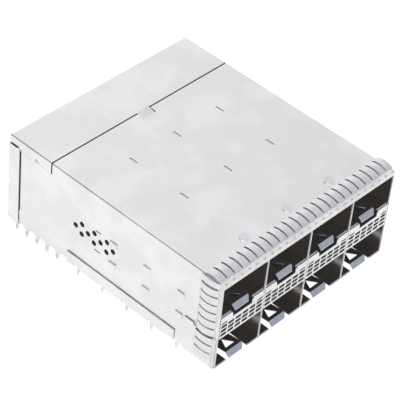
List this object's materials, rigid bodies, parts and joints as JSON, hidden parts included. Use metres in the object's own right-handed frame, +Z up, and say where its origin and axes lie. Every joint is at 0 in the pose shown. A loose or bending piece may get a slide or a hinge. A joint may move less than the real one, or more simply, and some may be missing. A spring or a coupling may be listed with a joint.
{
  "type": "stacked transceiver cage and connector",
  "caption": "Stacked sheet-metal cage with integral connectors: two rows of ports with sprung latches, a perforated centre strip and a shield gasket, pressed into a board.",
  "frame": {"origin": "middle of the floor pan's underside, on the board plane, 23.4 mm behind the front plane", "axes": "+Z up from the board, -Y out of the ports, +X to the right seen from the front"},
  "size_m": [0.0596, 0.0668, 0.0284],
  "materials": {
    "cage_sheet": "nickel silver sheet, light matt with a mottled sheen",
    "separator_sheet": "thin bright sheet with pierced slots",
    "gasket_spring": "tin-plated copper-alloy spring sheet",
    "latch_spring": "bright stainless spring sheet",
    "connector_resin": "black moulded liquid crystal polymer",
    "organizer_resin": "black moulded liquid crystal polymer",
    "contact_plating": "gold flash over nickel"
  },
  "bodies": {
    "cage": {"main_shell": "cage_sheet", "rear_cover": "cage_sheet", "floor_pan": "cage_sheet", "emi_gasket_upper": "gasket_spring", "emi_gasket_lower_left": "gasket_spring", "emi_gasket_lower_right": "gasket_spring", "divider_wall_1": "cage_sheet", "divider_wall_2": "cage_sheet", "divider_wall_3": "cage_sheet", "port_separator_1": "separator_sheet", "connector_housing_1": "connector_resin", "signal_contacts_1": "contact_plating", "tail_organizer_1": "organizer_resin", "port_separator_2": "separator_sheet", "connector_housing_2": "connector_resin", "signal_contacts_2": "contact_plating", "tail_organizer_2": "organizer_resin", "port_separator_3": "separator_sheet", "connector_housing_3": "connector_resin", "signal_contacts_3": "contact_plating", "tail_organizer_3": "organizer_resin", "port_separator_4": "separator_sheet", "connector_housing_4": "connector_resin", "signal_contacts_4": "contact_plating", "tail_organizer_4": "organizer_resin"},
    "latch_lower_1": {"latch_lower_1": "latch_spring"},
    "kickout_lower_1": {"kickout_lower_1": "latch_spring"},
    "latch_upper_1": {"latch_upper_1": "latch_spring"},
    "kickout_upper_1": {"kickout_upper_1": "latch_spring"},
    "latch_lower_2": {"latch_lower_2": "latch_spring"},
    "kickout_lower_2": {"kickout_lower_2": "latch_spring"},
    "latch_upper_2": {"latch_upper_2": "latch_spring"},
    "kickout_upper_2": {"kickout_upper_2": "latch_spring"},
    "latch_lower_3": {"latch_lower_3": "latch_spring"},
    "kickout_lower_3": {"kickout_lower_3": "latch_spring"},
    "latch_upper_3": {"latch_upper_3": "latch_spring"},
    "kickout_upper_3": {"kickout_upper_3": "latch_spring"},
    "latch_lower_4": {"latch_lower_4": "latch_spring"},
    "kickout_lower_4": {"kickout_lower_4": "latch_spring"},
    "latch_upper_4": {"latch_upper_4": "latch_spring"},
    "kickout_upper_4": {"kickout_upper_4": "latch_spring"}
  },
  "joints": [
    {"name": "latch_lower_1_flex", "type": "hinge", "parent": "cage", "child": "latch_lower_1", "pos_m": [-0.02138, -0.01475, 0.00013], "axis": [1, 0, 0], "range_deg": [0, 7], "stiffness_Nm_per_rad": 0.002},
    {"name": "kickout_lower_1_flex", "type": "hinge", "parent": "cage", "child": "kickout_lower_1", "pos_m": [-0.02138, 0.02195, 0.00045], "axis": [-1, 0, 0], "range_deg": [0, 28], "stiffness_Nm_per_rad": 0.002},
    {"name": "latch_upper_1_flex", "type": "hinge", "parent": "cage", "child": "latch_upper_1", "pos_m": [-0.02138, -0.01475, 0.01487], "axis": [1, 0, 0], "range_deg": [0, 7], "stiffness_Nm_per_rad": 0.002},
    {"name": "kickout_upper_1_flex", "type": "hinge", "parent": "cage", "child": "kickout_upper_1", "pos_m": [-0.02138, 0.02195, 0.0152], "axis": [-1, 0, 0], "range_deg": [0, 28], "stiffness_Nm_per_rad": 0.002},
    {"name": "latch_lower_2_flex", "type": "hinge", "parent": "cage", "child": "latch_lower_2", "pos_m": [-0.00713, -0.01475, 0.00013], "axis": [1, 0, 0], "range_deg": [0, 7], "stiffness_Nm_per_rad": 0.002},
    {"name": "kickout_lower_2_flex", "type": "hinge", "parent": "cage", "child": "kickout_lower_2", "pos_m": [-0.00713, 0.02195, 0.00045], "axis": [-1, 0, 0], "range_deg": [0, 28], "stiffness_Nm_per_rad": 0.002},
    {"name": "latch_upper_2_flex", "type": "hinge", "parent": "cage", "child": "latch_upper_2", "pos_m": [-0.00713, -0.01475, 0.01487], "axis": [1, 0, 0], "range_deg": [0, 7], "stiffness_Nm_per_rad": 0.002},
    {"name": "kickout_upper_2_flex", "type": "hinge", "parent": "cage", "child": "kickout_upper_2", "pos_m": [-0.00713, 0.02195, 0.0152], "axis": [-1, 0, 0], "range_deg": [0, 28], "stiffness_Nm_per_rad": 0.002},
    {"name": "latch_lower_3_flex", "type": "hinge", "parent": "cage", "child": "latch_lower_3", "pos_m": [0.00713, -0.01475, 0.00013], "axis": [1, 0, 0], "range_deg": [0, 7], "stiffness_Nm_per_rad": 0.002},
    {"name": "kickout_lower_3_flex", "type": "hinge", "parent": "cage", "child": "kickout_lower_3", "pos_m": [0.00713, 0.02195, 0.00045], "axis": [-1, 0, 0], "range_deg": [0, 28], "stiffness_Nm_per_rad": 0.002},
    {"name": "latch_upper_3_flex", "type": "hinge", "parent": "cage", "child": "latch_upper_3", "pos_m": [0.00713, -0.01475, 0.01487], "axis": [1, 0, 0], "range_deg": [0, 7], "stiffness_Nm_per_rad": 0.002},
    {"name": "kickout_upper_3_flex", "type": "hinge", "parent": "cage", "child": "kickout_upper_3", "pos_m": [0.00713, 0.02195, 0.0152], "axis": [-1, 0, 0], "range_deg": [0, 28], "stiffness_Nm_per_rad": 0.002},
    {"name": "latch_lower_4_flex", "type": "hinge", "parent": "cage", "child": "latch_lower_4", "pos_m": [0.02138, -0.01475, 0.00013], "axis": [1, 0, 0], "range_deg": [0, 7], "stiffness_Nm_per_rad": 0.002},
    {"name": "kickout_lower_4_flex", "type": "hinge", "parent": "cage", "child": "kickout_lower_4", "pos_m": [0.02138, 0.02195, 0.00045], "axis": [-1, 0, 0], "range_deg": [0, 28], "stiffness_Nm_per_rad": 0.002},
    {"name": "latch_upper_4_flex", "type": "hinge", "parent": "cage", "child": "latch_upper_4", "pos_m": [0.02138, -0.01475, 0.01487], "axis": [1, 0, 0], "range_deg": [0, 7], "stiffness_Nm_per_rad": 0.002},
    {"name": "kickout_upper_4_flex", "type": "hinge", "parent": "cage", "child": "kickout_upper_4", "pos_m": [0.02138, 0.02195, 0.0152], "axis": [-1, 0, 0], "range_deg": [0, 28], "stiffness_Nm_per_rad": 0.002}
  ]
}
